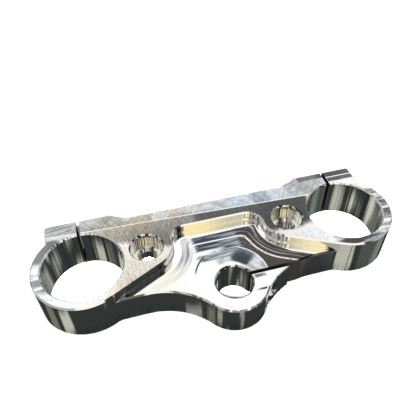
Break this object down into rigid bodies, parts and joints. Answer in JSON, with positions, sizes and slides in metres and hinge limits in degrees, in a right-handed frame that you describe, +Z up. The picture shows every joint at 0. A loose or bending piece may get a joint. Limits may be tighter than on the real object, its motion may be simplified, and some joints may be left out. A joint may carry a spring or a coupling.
{
  "type": "motorcycle triple clamp",
  "caption": "Upper fork clamp milled from one aluminium plate: split rings for the fork legs, a split stem bore in a rounded nose, and seats for the handlebar mounts beside a recess.",
  "frame": {"origin": "on the axis of the steering-stem bore, in the plane of the underside", "axes": "+X across the forks, to the side of the stem slit; +Y from the stem towards the forks; +Z up along the stem"},
  "size_m": [0.2564, 0.0985, 0.0305],
  "materials": {
    "machined_aluminium": "bright machined, bare metal"
  },
  "bodies": {
    "root": {"triple_clamp": "machined_aluminium"}
  },
  "joints": []
}
